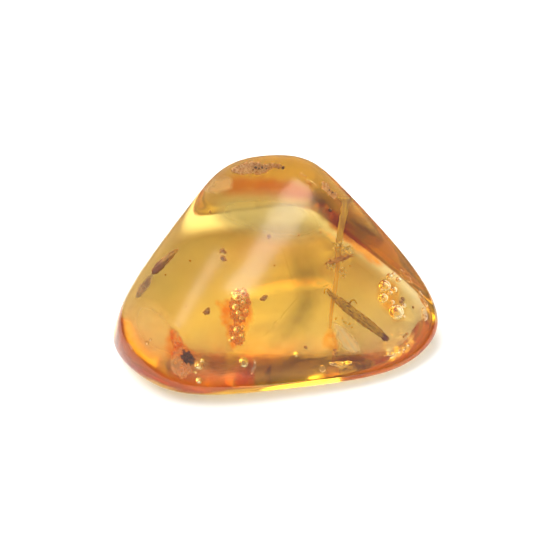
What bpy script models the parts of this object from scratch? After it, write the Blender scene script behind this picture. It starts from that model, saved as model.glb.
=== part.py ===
"""Plant in amber: a polished clear pebble of amber with scraps of plant sealed inside it.

The pebble is one stone. It is parted here along a seam plane, so that every sealed scrap lies
in a pocket that opens at the seam. Metres, +Z up. The stone rests on the flat of its back, and
the origin is on that flat.
"""
import math

import bmesh
import bpy
import numpy as np
from mathutils import Matrix, Vector, noise

MM = 0.001
GAP = 0.3 * MM                      # clear space between neighbouring solids

# The pebble: broad flats that blend into one another over rounded edges.
# name: (azimuth deg, elevation deg, distance from CENTRE in mm, crown radius in mm, 0 is flat)
FLATS = {
    "rest": (-90, -90, 6.6, 0),
    "face": (-68, 68, 5.4, 160),
    "near_edge": (-81.2, 22, 16.4, 0),
    "right_rear": (46.8, -2, 9.9, 0),
    "left_rear": (151.2, 20, 11.1, 0),
    "far_tip": (99.3, 0, 8.6, 0),
    "left_tip": (216.3, 0, 24.1, 0),
    "right_tip": (-14.8, 0, 22.9, 0),
    "rear_belly": (90, -60, 12.0, 0),
}
CENTRE = Vector((-0.2, 4.8, 6.5)) * MM
BLEND = 7                           # higher is a sharper edge between two flats
PEBBLE_DETAIL = 5                   # icosphere subdivisions
PEBBLE_SPREAD = Vector((20, 14, 9))  # stretches the points' directions towards the tips

SEAM_DEPTH = 2.8                    # mm from the crown of the face down to the seam plane

# Sealed pieces, in mm in the seam's frame: +X right, +Y up the face, +Z out of the face
STEM_ENDS = ((5.9, -7.6, 0.3), (13.3, -13.1, 0.0))
STEM_RADIUS = 0.46
STEM_RIBS = 10
STALK_PATH = ((8.4, 4.2), (8.05, 1.9), (7.6, -1.3), (7.45, -4.4), (7.1, -7.1), (6.8, -9.6),
              (6.65, -12.0))
STALK_WIDTH = 0.8
STALK_FLATNESS = 0.4
STALK_DROP = 0.85                   # how far the stalk's lower end lies below the seam
SCRAP_CENTRE, SCRAP_SIZE = (7.5, -3.35, 0.42), (3.0, 0.85, 0.42)
BUD_ENDS = ((-12.1, -3.1, 0.0), (-15.2, -6.6, 0.0))
BUD_RADIUS = 0.42
CENTRE_CRUMB, CENTRE_CRUMB_SIZE = (-4.55, -11.5, 0.0), (2.5, 6.6, 1.5)
LEFT_CRUMB, LEFT_CRUMB_SIZE = (-11.3, -16.2, -1.15), (2.6, 5.2, 1.2)
GRAIN_CENTRE, GRAIN_SIZE = (-10.8, -16.5, -0.05), (1.0, 1.2, 0.5)

AMBER = ((0.96, 0.62, 0.12, 1), 0.05)
STALK_TAN = ((0.42, 0.24, 0.06, 1), 0.6)
BUD_BROWN = ((0.16, 0.08, 0.03, 1), 0.6)
CRUST_ORANGE = ((0.70, 0.24, 0.05, 1), 0.55)
GRAIN_BLACK = ((0.03, 0.015, 0.01, 1), 0.5)

for old in list(bpy.data.objects):
    bpy.data.objects.remove(old, do_unlink=True)

parts = bpy.data.collections.new("plant_in_amber")
cutters = bpy.data.collections.new("cutters")
bpy.context.scene.collection.children.link(parts)
bpy.context.scene.collection.children.link(cutters)


def material(name, look):
    mat = bpy.data.materials.new(name)
    mat.use_nodes = True
    bsdf = mat.node_tree.nodes["Principled BSDF"]
    bsdf.inputs["Base Color"].default_value = look[0]
    bsdf.inputs["Roughness"].default_value = look[1]
    bsdf.inputs["Metallic"].default_value = 0
    return mat


def add_object(name, bm, collection, mat=None, parent=None):
    mesh = bpy.data.meshes.new(name)
    bmesh.ops.recalc_face_normals(bm, faces=bm.faces)
    bm.to_mesh(mesh)
    bm.free()
    mesh.shade_smooth()
    ob = bpy.data.objects.new(name, mesh)
    collection.objects.link(ob)
    ob.parent = parent
    if mat:
        mesh.materials.append(mat)
    else:
        ob.hide_render = True
        ob.display_type = "WIRE"
    return ob


def aim(ob, start, end):
    """Lay an object's Z axis along the line from start to end, both in mm."""
    start, end = Vector(start) * MM, Vector(end) * MM
    ob.location = (start + end) / 2
    ob.rotation_euler = (end - start).to_track_quat("Z", "Y").to_euler()


def length(start, end):
    return (Vector(end) - Vector(start)).length * MM


# ---- The seam: a frame parallel to the face, that every sealed piece hangs from

def flat_normal(azimuth, elevation):
    a, e = math.radians(azimuth), math.radians(elevation)
    return Vector((math.cos(a) * math.cos(e), math.sin(a) * math.cos(e), math.sin(e)))


face_normal = flat_normal(*FLATS["face"][:2])
across = (Vector((1, 0, 0)) - face_normal * face_normal.x).normalized()
up_face = face_normal.cross(across)
seam = bpy.data.objects.new("seam", None)
parts.objects.link(seam)
seam.matrix_world = Matrix.Translation(CENTRE + face_normal * (FLATS["face"][2] - SEAM_DEPTH) * MM) \
    @ Matrix((across, up_face, face_normal)).transposed().to_4x4()


# ---- The pebble: each point lies where the blended sum of all its flats reaches one

def pebble():
    normals = np.array([flat_normal(f[0], f[1]) for f in FLATS.values()])
    height = np.array([f[2] * MM for f in FLATS.values()])
    bulge = np.array([0.5 / (f[3] * MM) if f[3] else 0.0 for f in FLATS.values()])
    bm = bmesh.new()
    bmesh.ops.create_icosphere(bm, subdivisions=PEBBLE_DETAIL, radius=1)
    way = np.array([(v.co * PEBBLE_SPREAD).normalized() for v in bm.verts])
    lean = way @ normals.T
    curve = (1 - lean ** 2) * bulge
    reach = (np.maximum(lean, 0) / height) ** BLEND
    reach = reach.sum(1) ** (-1 / BLEND)
    for _ in range(14):
        part = np.maximum(lean * reach[:, None] + curve * reach[:, None] ** 2, 0) / height
        total = (part ** BLEND).sum(1) ** (1 / BLEND)
        rise = (lean + 2 * curve * reach[:, None]) / height * (part > 0)
        slope = (part ** (BLEND - 1) * rise).sum(1) * total ** (1 - BLEND)
        reach = reach - np.clip((total - 1) / slope, -reach / 2, reach / 2)
    for vert, direction, radius in zip(bm.verts, way, reach):
        vert.co = Vector(direction * radius) + CENTRE
        vert.co.z = max(vert.co.z, 0)
    return bm


def slab(name, side):
    """A block that fills the space on one side of the seam, half a gap past its plane."""
    bm = bmesh.new()
    bmesh.ops.create_cube(bm, size=60 * MM)
    ob = add_object(name, bm, cutters, parent=seam)
    ob.location.z = side * (30 * MM - GAP / 2)
    return ob


def egg(name, centre, size, turn=0.0, pitch=0.0, detail=3):
    """An egg-shaped pocket, its size in mm along each axis."""
    bm = bmesh.new()
    bmesh.ops.create_icosphere(bm, subdivisions=detail, radius=0.5)
    bmesh.ops.scale(bm, vec=Vector(size) * MM, verts=bm.verts)
    ob = add_object(name, bm, cutters, parent=seam)
    ob.location = Vector(centre) * MM
    ob.rotation_euler = (pitch, 0, turn)
    return ob


# ---- Ribbed stem: a tapering rod with lengthwise ribs

def ribbed_stem():
    span = length(*STEM_ENDS)
    bm = bmesh.new()
    bmesh.ops.create_cone(bm, cap_ends=True, segments=2 * STEM_RIBS, radius1=1, radius2=1, depth=1)
    bmesh.ops.subdivide_edges(bm, edges=[e for e in bm.edges if e.calc_length() > 0.9],
                              cuts=11, use_grid_fill=True)
    for vert in bm.verts:
        along = vert.co.z + 0.5
        angle = math.atan2(vert.co.y, vert.co.x)
        swell = min(1, 0.35 + 2.2 * along, 0.55 + 3.2 * (1 - along))
        wobble = 1 + 0.07 * math.sin(17 * along) + 0.04 * math.sin(41 * along + angle)
        radius = STEM_RADIUS * MM * swell * wobble * (1 + 0.10 * math.cos(STEM_RIBS * angle))
        vert.co = Vector((math.cos(angle) * radius, math.sin(angle) * radius * 0.85,
                          vert.co.z * span))
    ob = add_object("ribbed_stem", bm, parts, material("stem_tan", STALK_TAN), seam)
    aim(ob, *STEM_ENDS)


# ---- Flat stalk: a strap-like strand that passes below the scrap and the stem

def stalk_tube(name, width, collection, mat=None, flatness=STALK_FLATNESS, extra=0.0):
    curve = bpy.data.curves.new(name, "CURVE")
    curve.dimensions = "3D"
    curve.bevel_depth = width / 2 * MM
    curve.bevel_resolution = 2
    curve.use_fill_caps = True
    path = [Vector(p) for p in STALK_PATH]
    path[0] += (path[0] - path[1]).normalized() * extra
    path[-1] += (path[-1] - path[-2]).normalized() * extra
    spline = curve.splines.new("POLY")
    spline.points.add(len(path) - 1)
    for i, (point, at) in enumerate(zip(spline.points, path)):
        point.co = (at.x * MM, at.y * MM, 0, 1)
        point.radius = 1 if i < 3 else 0.62
    tube = bpy.data.objects.new(name + "_curve", curve)
    collection.objects.link(tube)
    mesh = bpy.data.meshes.new_from_object(tube.evaluated_get(bpy.context.evaluated_depsgraph_get()))
    bpy.data.objects.remove(tube)
    bm = bmesh.new()
    bm.from_mesh(mesh)
    bmesh.ops.remove_doubles(bm, verts=bm.verts, dist=1e-6)
    top, bottom = STALK_PATH[0][1] * MM, STALK_PATH[-1][1] * MM
    for vert in bm.verts:
        fall = min(max((top - vert.co.y) / (top - bottom), 0), 1)
        vert.co.z = vert.co.z * flatness - STALK_DROP * MM * fall ** 0.8
    return add_object(name, bm, collection, mat, seam)


# ---- Rough pieces: lumps of crust and scraps, roughened by smooth noise

def rough_piece(name, centre, size, look, turn, pitch=0.0, detail=3, lump=0.22, grain=3.0,
                waist=0.0, shift=0.0):
    bm = bmesh.new()
    bmesh.ops.create_icosphere(bm, subdivisions=detail, radius=0.5)
    for vert in bm.verts:
        at = vert.co * grain + Vector((shift, 0, 0))
        rough = 1 + lump * noise.noise(at) + 0.5 * lump * noise.noise(at * 2.3)
        pinch = 1 - waist * math.exp(-(vert.co.y / 0.12) ** 2)
        vert.co = Vector((vert.co.x * pinch, vert.co.y, vert.co.z * pinch)) * rough
    bmesh.ops.scale(bm, vec=Vector(size) * MM, verts=bm.verts)
    ob = add_object(name, bm, parts, material(name + "_look", look), seam)
    ob.location = Vector(centre) * MM
    ob.rotation_euler = (pitch, 0, turn)


# ---- Bud scale: a slim spindle, pointed at both ends

def bud_scale():
    span = length(*BUD_ENDS)
    bm = bmesh.new()
    bmesh.ops.create_uvsphere(bm, u_segments=12, v_segments=12, radius=1)
    for vert in bm.verts:
        slim = max(1 - vert.co.z ** 2, 0) ** 0.3 * BUD_RADIUS * MM
        vert.co = Vector((vert.co.x * slim, vert.co.y * slim * 0.7, vert.co.z * span / 2))
    ob = add_object("bud_scale", bm, parts, material("bud_brown", BUD_BROWN), seam)
    aim(ob, *BUD_ENDS)


ribbed_stem()
stalk_tube("flat_stalk", STALK_WIDTH, parts, material("stalk_tan", STALK_TAN))
bud_scale()
rough_piece("leaf_scrap", SCRAP_CENTRE, SCRAP_SIZE, BUD_BROWN, turn=0.42, lump=0.3, grain=4)
rough_piece("centre_crumb", CENTRE_CRUMB, CENTRE_CRUMB_SIZE, CRUST_ORANGE, turn=-0.12,
            waist=0.35)
rough_piece("left_crumb", LEFT_CRUMB, LEFT_CRUMB_SIZE, CRUST_ORANGE, turn=0.3, pitch=0.2,
            waist=0.1, shift=7.0)
rough_piece("dark_grain", GRAIN_CENTRE, GRAIN_SIZE, GRAIN_BLACK, turn=0.5, detail=2, lump=0.3,
            shift=3.0)

# ---- Pockets, each a gap wider than its piece and open at the seam, then the two halves

stem_pocket = bmesh.new()
bmesh.ops.create_cone(stem_pocket, cap_ends=True, segments=16, radius1=0.9 * MM, radius2=0.8 * MM,
                      depth=length(*STEM_ENDS) + 0.9 * MM)
stem_pocket = add_object("stem_pocket", stem_pocket, cutters, parent=seam)
aim(stem_pocket, *STEM_ENDS)
bud_pocket = egg("bud_pocket", (0, 0, 0), (1.6, 1.4, 6.2), detail=3)
aim(bud_pocket, *BUD_ENDS)
pockets = [
    stem_pocket,
    bud_pocket,
    stalk_tube("stalk_pocket", STALK_WIDTH + 1.0, cutters, flatness=1.0, extra=0.5),
    egg("scrap_pocket", SCRAP_CENTRE, (4.3, 2.1, 1.6), turn=0.42),
    egg("centre_pocket", CENTRE_CRUMB, (4.0, 8.8, 2.9), turn=-0.12),
    egg("left_pocket", (-11.3, -16.15, -0.85), (3.9, 7.0, 3.1), turn=0.3, pitch=0.2),
]
amber = material("amber", AMBER)
for half, side in (("amber_upper", -1), ("amber_lower", 1)):
    ob = add_object(half, pebble(), parts, amber)
    for cutter in [slab("slab_" + half, side)] + pockets:
        cut = ob.modifiers.new(cutter.name, "BOOLEAN")
        cut.operation = "DIFFERENCE"
        cut.solver = "EXACT"
        cut.object = cutter
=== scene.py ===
"""Plant in amber: the finished look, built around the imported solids. Metres, +Z up."""
import math

import bmesh
import bpy
import numpy as np
from mathutils import Euler, Matrix, Vector, noise


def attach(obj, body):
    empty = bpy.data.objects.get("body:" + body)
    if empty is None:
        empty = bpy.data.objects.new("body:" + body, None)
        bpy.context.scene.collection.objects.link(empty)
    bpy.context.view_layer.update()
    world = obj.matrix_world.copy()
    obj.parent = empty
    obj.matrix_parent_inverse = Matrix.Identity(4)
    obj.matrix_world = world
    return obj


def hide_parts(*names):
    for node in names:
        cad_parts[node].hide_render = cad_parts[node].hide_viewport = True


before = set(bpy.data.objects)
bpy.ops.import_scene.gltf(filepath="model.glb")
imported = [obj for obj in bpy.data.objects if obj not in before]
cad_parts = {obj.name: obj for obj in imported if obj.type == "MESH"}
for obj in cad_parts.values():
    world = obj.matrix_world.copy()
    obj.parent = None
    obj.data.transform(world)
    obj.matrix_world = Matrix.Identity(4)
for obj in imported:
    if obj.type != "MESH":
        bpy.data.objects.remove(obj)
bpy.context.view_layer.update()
MM = 0.001


# ---- Camera: a long lens looking down on the stone at 45 degrees, square on to its length and far
# enough away that its near edge hardly swells.

CAMERA_TARGET = Vector((-0.55, 0.3, 6.5)) * MM
CAMERA_DISTANCE = 277 * MM
CAMERA_HEIGHT_ANGLE = math.radians(45)

lens = bpy.data.cameras.new("camera")
lens.lens = 150
lens.sensor_width = 36
lens.clip_start = 0.01
camera = bpy.data.objects.new("camera", lens)
bpy.context.scene.collection.objects.link(camera)
bpy.context.scene.camera = camera
back = Vector((0, -math.cos(CAMERA_HEIGHT_ANGLE), math.sin(CAMERA_HEIGHT_ANGLE)))
camera.location = CAMERA_TARGET + back * CAMERA_DISTANCE
camera.rotation_euler = (-back).to_track_quat("-Z", "Y").to_euler()


# ---- Table and light: a painted pool of light on the table top, whose colour is white around the
# stone and dark grey farther out, under a soft sky that fades to the horizon, a soft box behind the
# stone, and two narrow strip lights that draw slanting bands across its face.

FLOOR_SIZE, FLOOR_GAP = 4, 0.00002  # m; the table lies a hair below the stone
FLOOR_ROUGHNESS, FLOOR_SHINE = 0.7, 0.2
# painted pool of light: the table is coloured white near the stone and dark grey farther out
FLOOR_WHITE, FLOOR_PAINTED_DARK = 0.92, 0.15
FLOOR_LIGHT_POOL = (0.065, 0.11)          # the white fades out between these distances, m
SKY_TINT = (1.0, 0.99, 0.97, 1)
SKY_HORIZON, SKY_TOP, SKY_RISE = 0.18, 1.18, 0.5
SKY_DIP, SKY_DIP_FROM = 0.66, 0.6   # a little darker again straight overhead
# name: (position m, tilt and turn deg, size m, power W)
LAMPS = {
    "soft_box": ((-0.3, 0.35, 0.4), (49.5, -139.4), (0.8, 0.8), 9.8),
    "broad_strip": ((0.125, 0.042, 0.5), (0, -24.8), (0.026, 0.185), 0.07),
    "thin_strip": ((0.033, -0.065, 0.5), (0, -23.4), (0.014, 0.17), 0.024),
}
MAX_BOUNCES = 32                    # light turns many times between the stone's polished faces
MAX_CLEAR_CROSSINGS = 64

bpy.ops.mesh.primitive_plane_add(size=FLOOR_SIZE, location=(0, 0, -FLOOR_GAP))
floor = bpy.context.object
floor.name = "table_top"
white = bpy.data.materials.new("table_painted_light_pool")
white.use_nodes = True
paint = white.node_tree.nodes["Principled BSDF"]
paint.inputs["Roughness"].default_value = FLOOR_ROUGHNESS
paint.inputs["Specular IOR Level"].default_value = FLOOR_SHINE
tree = white.node_tree
# painted pool of light: the table's colour fades from white to dark grey away from its middle
spot = tree.nodes.new("ShaderNodeTexCoord")
away = tree.nodes.new("ShaderNodeVectorMath")
away.operation = "LENGTH"
fade = tree.nodes.new("ShaderNodeMapRange")
fade.interpolation_type = "SMOOTHSTEP"
fade.inputs["From Min"].default_value, fade.inputs["From Max"].default_value = FLOOR_LIGHT_POOL
fade.inputs["To Min"].default_value = FLOOR_WHITE
fade.inputs["To Max"].default_value = FLOOR_PAINTED_DARK
tree.links.new(spot.outputs["Object"], away.inputs[0])
tree.links.new(away.outputs["Value"], fade.inputs["Value"])
tree.links.new(fade.outputs["Result"], paint.inputs["Base Color"])
floor.data.materials.append(white)

sky = bpy.data.worlds.new("studio")
sky.use_nodes = True
tree = sky.node_tree
tree.nodes["Background"].inputs["Color"].default_value = SKY_TINT
way = tree.nodes.new("ShaderNodeTexCoord")
height = tree.nodes.new("ShaderNodeSeparateXYZ")
fade = tree.nodes.new("ShaderNodeMapRange")
fade.inputs["From Max"].default_value = SKY_RISE
fade.inputs["To Min"].default_value = SKY_HORIZON
fade.inputs["To Max"].default_value = SKY_TOP
dip = tree.nodes.new("ShaderNodeMapRange")
dip.inputs["From Min"].default_value = SKY_DIP_FROM
dip.inputs["To Max"].default_value = SKY_DIP
rest = tree.nodes.new("ShaderNodeMath")
rest.operation = "SUBTRACT"
tree.links.new(way.outputs["Generated"], height.inputs[0])
tree.links.new(height.outputs["Z"], fade.inputs["Value"])
tree.links.new(height.outputs["Z"], dip.inputs["Value"])
tree.links.new(fade.outputs["Result"], rest.inputs[0])
tree.links.new(dip.outputs["Result"], rest.inputs[1])
tree.links.new(rest.outputs[0], tree.nodes["Background"].inputs["Strength"])
bpy.context.scene.world = sky

for name, (spot, (tilt, turn), size, power) in LAMPS.items():
    lamp = bpy.data.lights.new(name, "AREA")
    lamp.shape = "RECTANGLE"
    lamp.size, lamp.size_y = size
    lamp.energy = power
    holder = bpy.data.objects.new(name, lamp)
    bpy.context.scene.collection.objects.link(holder)
    holder.location = spot
    holder.visible_glossy = name != "soft_box"      # it draws no glare on the stone's skin
    holder.rotation_euler = (math.radians(tilt), 0, math.radians(turn))

scene = bpy.context.scene
scene.view_settings.view_transform = "Standard"
scene.cycles.max_bounces = MAX_BOUNCES
scene.cycles.transmission_bounces = MAX_BOUNCES
scene.cycles.glossy_bounces = MAX_BOUNCES
scene.cycles.transparent_max_bounces = MAX_CLEAR_CROSSINGS


# ---- Amber: one clear stone of fossil resin, tumbled and polished to broad flats with rounded
# edges. It is honey yellow where thin and deepens to orange and brown where light goes far in it.
# Gas bubbles and thin cracks are empty spaces in the same resin, so their skins face inwards.

FLATS = {                           # azimuth deg, elevation deg, distance mm, crown radius mm
    "rest": (-90, -90, 6.75, 0),
    "face": (-68, 68, 5.4, 160),
    "near_edge": (-81.2, 22, 16.4, 0),
    "right_rear": (46.8, -2, 9.9, 0),
    "left_rear": (151.2, 20, 11.1, 0),
    "far_tip": (99.3, 0, 8.6, 0),
    "left_tip": (216.3, 0, 24.1, 0),
    "right_tip": (-14.8, 0, 22.9, 0),
    "rear_belly": (90, -60, 12.0, 0),
}
CENTRE = Vector((-0.2, 4.8, 6.5)) * MM
BLEND = 7                           # higher is a tighter rounding between the flats
STONE_DETAIL, REACH_STEPS = 7, 14
STONE_SPREAD = Vector((20, 14, 9))  # puts more of the mesh towards the thin ends
WAVE, WAVE_LENGTH = 0.015 * MM, 6 * MM
SEAM_DEPTH = 2.6 * MM
AMBER_IOR = 1.54
AMBER_POLISH = (0.07, 0.10)         # roughness of a hand polish, from patch to patch
RUB_SCALE, RUB_DEPTH = 2.2 * MM, 0.004 * MM
AMBER_TINT = (0.96, 0.785, 0.03, 1)
AMBER_DENSITY = 125
TEAR_SEED = 5                       # fixes the ragged rims of the flakes and cracks
BIG_BUBBLE, BUBBLE_DENT = 0.45, 0.08    # mm, part of its radius
CRACK_WARP = 0.25                   # mm
TEAR_LENGTH, BUCKLE_LENGTH = 0.6 * MM, 1.1 * MM     # of a flake's ragged rim and buckled face
# places are mm from the middle of the old resin seam: along it, up the face, out of the face
BUBBLES = [                         # place, diameter mm
    ((-3.9, -16.9, -0.6), 1.15), ((-3.6, -17.2, 0.2), 0.35), ((-15.5, -15.1, -0.5), 0.5),
    ((-15.1, -14.7, -0.4), 0.35), ((2.4, -15.6, -0.5), 0.6), ((-9.2, -17.4, -0.9), 1.0),
    ((-8.8, -16.9, -0.6), 0.5), ((-9.1, -19.0, -1.4), 0.75), ((-9.6, -18.4, -0.7), 0.4),
    ((13.3, -6.3, 0.2), 1.5), ((13.1, -7.9, 0.1), 1.25), ((13.9, -5.1, 0.5), 0.8),
    ((14.5, -6.6, -0.3), 0.8), ((13.9, -7.4, 0.9), 0.6), ((14.7, -9.6, 0.1), 1.9),
    ((14.2, -8.6, 0.9), 0.6), ((15.6, -8.9, 0.8), 0.6), ((15.0, -5.4, 0.3), 0.7),
    ((14.4, -4.7, 0.2), 0.5), ((12.8, -7.1, 0.8), 0.4), ((15.6, -10.4, 0.9), 0.4),
    ((13.7, -14.6, -1.1), 0.4), ((14.3, -14.6, -0.9), 0.45), ((15.0, -14.3, -0.8), 0.5),
    ((15.6, -14.0, -0.7), 0.45), ((16.1, -13.5, -0.5), 0.5), ((15.5, -14.4, -0.6), 0.25),
    ((7.0, -1.9, 0.4), 0.26), ((7.5, -1.5, 0.5), 0.3), ((8.1, -1.3, 0.3), 0.24),
    ((8.7, -1.7, 0.2), 0.32), ((8.3, -2.1, 0.4), 0.22), ((9.1, -2.2, 0.2), 0.26),
    ((6.4, -4.2, 0.4), 0.3), ((7.0, -4.5, 0.5), 0.24), ((8.0, -4.4, 0.4), 0.3),
    ((8.5, -4.9, 0.3), 0.24), ((7.6, -5.0, 0.4), 0.2), ((8.2, -5.6, 0.3), 0.22),
    ((-4.9, -9.2, 1.15), 1.15), ((-5.1, -10.5, 1.0), 0.8), ((-4.8, -11.3, 1.3), 0.6),
    ((-4.2, -8.5, 0.95), 0.6), ((-5.4, -8.7, 0.85), 0.5), ((-4.4, -11.9, 0.95), 0.5),
    ((-3.8, -10.9, 0.9), 0.5), ((-4.2, -9.9, 1.2), 0.6), ((-4.9, -13.4, 1.0), 0.8),
    ((-4.3, -14.1, 0.95), 0.6), ((-5.3, -14.4, 0.8), 0.5), ((-5.7, -14.7, 0.7), 0.35),
    ((-4.2, -13.0, 0.95), 0.45), ((-4.0, -9.3, 1.0), 0.3), ((-5.0, -8.2, 0.8), 0.35),
]
CRACKS = [                          # rim of places, opening mm
    (((6.0, -16.4, -1.0), (7.6, -16.6, -1.15), (9.4, -16.2, -1.1), (9.2, -15.7, -1.3),
      (7.4, -15.9, -1.4)), 0.06),
    (((5.2, -16.4, -1.3), (6.1, -16.6, -1.3), (6.2, -17.1, -1.6), (5.3, -16.9, -1.6)), 0.05),
    (((12.8, -14.9, -1.2), (14.4, -14.8, -1.0), (15.6, -14.2, -0.7), (14.4, -14.4, -1.1)), 0.05),
    (((-2.7, -16.0, -0.7), (-2.3, -16.9, -0.8), (-2.5, -17.7, -1.1), (-3.1, -18.1, -1.4),
      (-2.8, -17.5, -1.0), (-2.6, -16.8, -0.8)), 0.05),
    (((-17.9, -14.4, -1.7), (-17.2, -14.8, -1.5), (-16.6, -15.2, -1.5),
      (-17.1, -15.4, -1.7)), 0.05),
    (((3.4, 7.6, -0.2), (4.2, 7.4, 0.1), (5.0, 6.6, -0.1), (4.5, 6.3, -0.6),
      (3.9, 7.0, -0.6)), 0.08),
    (((2.6, 8.4, -0.5), (3.4, 8.3, -0.3), (3.9, 7.7, -0.5), (3.2, 7.9, -0.8)), 0.05),
    (((15.0, -3.4, -0.5), (16.2, -4.5, -0.3), (17.0, -5.7, -0.6), (16.2, -5.4, -1.0),
      (15.3, -4.3, -1.0)), 0.05),
    (((17.2, -6.0, -0.5), (18.2, -7.2, -0.5), (18.6, -8.6, -0.5), (17.9, -8.0, -1.1)), 0.06),
    (((17.8, -8.2, -0.3), (18.7, -9.4, -0.4), (18.4, -10.8, -0.4), (17.8, -9.6, -0.8)), 0.06),
]


def flat_normal(azimuth, elevation):
    a, e = math.radians(azimuth), math.radians(elevation)
    return Vector((math.cos(a) * math.cos(e), math.sin(a) * math.cos(e), math.sin(e)))


OUT = flat_normal(*FLATS["face"][:2])
UP = OUT.cross(Vector((1, 0, 0))).normalized()
ALONG = UP.cross(OUT)
SEAM_FRAME = Matrix((ALONG, UP, OUT)).transposed()


def seam(place):
    return CENTRE + OUT * SEAM_DEPTH + SEAM_FRAME @ Vector(place) * MM


def stone_radius(way):
    """How far the stone reaches from its centre along each direction."""
    normals = np.array([flat_normal(f[0], f[1]) for f in FLATS.values()])
    height = np.array([f[2] * MM for f in FLATS.values()])
    bulge = np.array([0.5 / (f[3] * MM) if f[3] else 0.0 for f in FLATS.values()])
    lean = way @ normals.T
    curve = (1 - lean ** 2) * bulge
    reach = ((np.maximum(lean, 0) / height) ** BLEND).sum(1) ** (-1 / BLEND)
    for _ in range(REACH_STEPS):
        part = np.maximum(lean * reach[:, None] + curve * reach[:, None] ** 2, 0) / height
        total = (part ** BLEND).sum(1) ** (1 / BLEND)
        rise = (lean + 2 * curve * reach[:, None]) / height * (part > 0)
        slope = (part ** (BLEND - 1) * rise).sum(1) * total ** (1 - BLEND)
        reach = reach - np.clip((total - 1) / slope, -reach / 2, reach / 2)
    return reach


noise.seed_set(TEAR_SEED)


def faces_since(bm, start):
    """The faces on every vertex made since the mesh had start vertices."""
    bm.verts.ensure_lookup_table()
    return list({face for vert in bm.verts[start:] for face in vert.link_faces})


def flake(bm, rim, thickness, warp, ragged=0.25, seed=0, soft=0.5, rings=5):
    """A thin leaf with an uneven rim through the given places, gently buckled. Its "core" value
    climbs from 0 at the rim to 1 at soft mm inside it, over the given number of rings."""
    core = bm.verts.layers.float.get("core") or bm.verts.layers.float.new("core")
    start = len(bm.verts)
    leaf = bm.faces.new([bm.verts.new(seam(place)) for place in rim])
    bmesh.ops.subdivide_edges(bm, edges=leaf.edges, cuts=3)
    for _ in range(4):
        bmesh.ops.smooth_vert(bm, verts=leaf.verts, factor=0.5, use_axis_x=True, use_axis_y=True,
                              use_axis_z=True)
    bmesh.ops.subdivide_edges(bm, edges=leaf.edges, cuts=1)
    for vert in leaf.verts:
        tear = noise.noise_vector(vert.co / TEAR_LENGTH + Vector((seed, 0, 0)))
        vert.co += SEAM_FRAME @ Vector((tear.x, tear.y, 0)) * ragged * MM
    leaf.normal_update()
    fan = bmesh.ops.poke(bm, faces=[leaf])["faces"]
    spokes = {edge for face in fan for edge in face.edges if len(edge.link_faces) > 1}
    bmesh.ops.subdivide_edges(bm, edges=list(spokes), cuts=rings, use_grid_fill=True)
    bmesh.ops.triangulate(bm, faces=faces_since(bm, start))
    bm.verts.ensure_lookup_table()
    for vert in bm.verts[start:]:
        buckle = noise.noise(vert.co / BUCKLE_LENGTH + Vector((seed, 0, 0)))
        vert.co += OUT * warp * MM * buckle
    edge = np.array([v.co for v in bm.verts[start:] if v.is_boundary])
    raised = bmesh.ops.extrude_face_region(bm, geom=faces_since(bm, start),
                                           use_keep_orig=True)["geom"]
    for vert in raised:
        if isinstance(vert, bmesh.types.BMVert):
            vert.co += OUT * thickness * MM
    bm.verts.ensure_lookup_table()
    made = bm.verts[start:]
    inset = np.linalg.norm(np.array([v.co for v in made])[:, None] - edge, axis=2).min(1)
    for vert, depth in zip(made, inset):
        climb = min(depth / (soft * MM), 1)
        vert[core] = climb * climb * (3 - 2 * climb)
    bmesh.ops.recalc_face_normals(bm, faces=faces_since(bm, start))


amber_glass = bpy.data.materials.new("amber_glass")
amber_glass.use_nodes = True
tree = amber_glass.node_tree
resin = tree.nodes["Principled BSDF"]
resin.inputs["Base Color"].default_value = (1, 1, 1, 1)
resin.inputs["IOR"].default_value = AMBER_IOR
resin.inputs["Transmission Weight"].default_value = 1
coords, rubbed = tree.nodes.new("ShaderNodeTexCoord"), tree.nodes.new("ShaderNodeTexNoise")
rubbed.inputs["Scale"].default_value = 1 / RUB_SCALE
polish, wear = tree.nodes.new("ShaderNodeMapRange"), tree.nodes.new("ShaderNodeBump")
polish.inputs["To Min"].default_value, polish.inputs["To Max"].default_value = AMBER_POLISH
wear.inputs["Distance"].default_value = RUB_DEPTH
tree.links.new(coords.outputs["Object"], rubbed.inputs["Vector"])
tree.links.new(rubbed.outputs["Fac"], polish.inputs["Value"])
tree.links.new(rubbed.outputs["Fac"], wear.inputs["Height"])
tree.links.new(polish.outputs["Result"], resin.inputs["Roughness"])
tree.links.new(wear.outputs["Normal"], resin.inputs["Normal"])
soak = tree.nodes.new("ShaderNodeVolumeAbsorption")
soak.inputs["Color"].default_value = AMBER_TINT
soak.inputs["Density"].default_value = AMBER_DENSITY
tree.links.new(soak.outputs["Volume"], tree.nodes["Material Output"].inputs["Volume"])

bm = bmesh.new()
bmesh.ops.create_icosphere(bm, subdivisions=STONE_DETAIL, radius=1)
ways = np.array([(v.co * STONE_SPREAD).normalized() for v in bm.verts])
for vert, way, reach in zip(bm.verts, ways, stone_radius(ways)):
    vert.co = Vector(way * reach) + CENTRE
    vert.co += Vector(way) * WAVE * noise.noise(vert.co / WAVE_LENGTH)
    vert.co.z = max(vert.co.z, 0)
voids = bmesh.new()
for number, (place, across) in enumerate(BUBBLES):
    detail = 4 if across > BIG_BUBBLE else 3
    for vert in bmesh.ops.create_icosphere(voids, subdivisions=detail, radius=1)["verts"]:
        dent = 1 + BUBBLE_DENT * noise.noise(vert.co + Vector((number, 0, 0)))
        vert.co = seam(place) + vert.co * across * dent / 2 * MM
for number, (rim, opening) in enumerate(CRACKS):
    flake(voids, rim, opening, CRACK_WARP, seed=number + 1)
bmesh.ops.reverse_faces(voids, faces=voids.faces)
hollows = bpy.data.meshes.new("hollows")
voids.to_mesh(hollows)
voids.free()
bm.from_mesh(hollows)
bpy.data.meshes.remove(hollows)


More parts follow.
